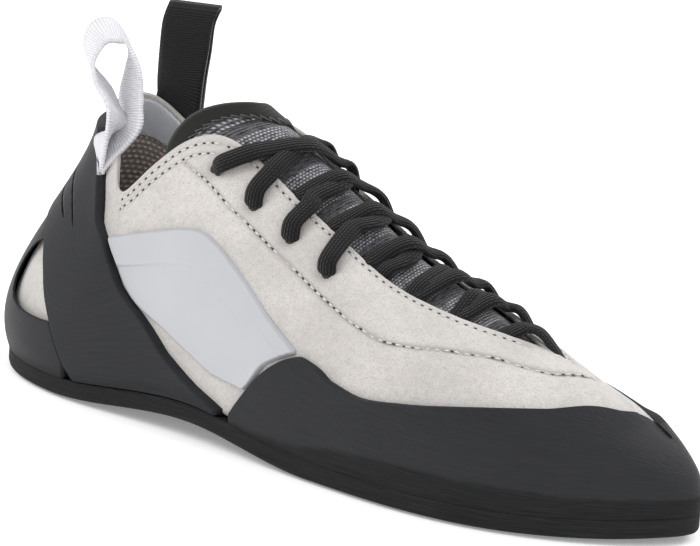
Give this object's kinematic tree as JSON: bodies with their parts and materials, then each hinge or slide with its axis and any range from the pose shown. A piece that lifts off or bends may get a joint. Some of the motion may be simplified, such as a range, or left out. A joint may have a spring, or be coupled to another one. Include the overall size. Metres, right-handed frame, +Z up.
{
  "type": "climbing shoe",
  "caption": "Right climbing shoe: lace-up suede upper with knit tongue, rubber toe rand, heel strap and sole, and two tape pull loops at the heel.",
  "frame": {"origin": "middle of the heel's flat tread, on the floor", "axes": "+X to the toe, +Y to the medial side, +Z up"},
  "size_m": [0.2635, 0.0792, 0.1209],
  "materials": {
    "suede": "napped",
    "sole_rubber": "buffed",
    "rand_rubber": "satin",
    "panel_film": "satin",
    "tongue_knit": "heather knit",
    "binding_tape": "matte",
    "insole_cloth": "matte",
    "lace_cord": "braided",
    "white_tape": "ribbed",
    "black_tape": "ribbed"
  },
  "bodies": {
    "root": {"upper": "suede", "outsole": "sole_rubber", "toe_rand": "rand_rubber", "heel_cup": "rand_rubber", "heel_strap": "rand_rubber", "side_panel": "panel_film", "tongue": "tongue_knit", "tongue_binding": "binding_tape", "insole": "insole_cloth", "laces": "lace_cord", "pull_loop_lateral": "white_tape", "pull_loop_medial": "black_tape"}
  },
  "joints": []
}
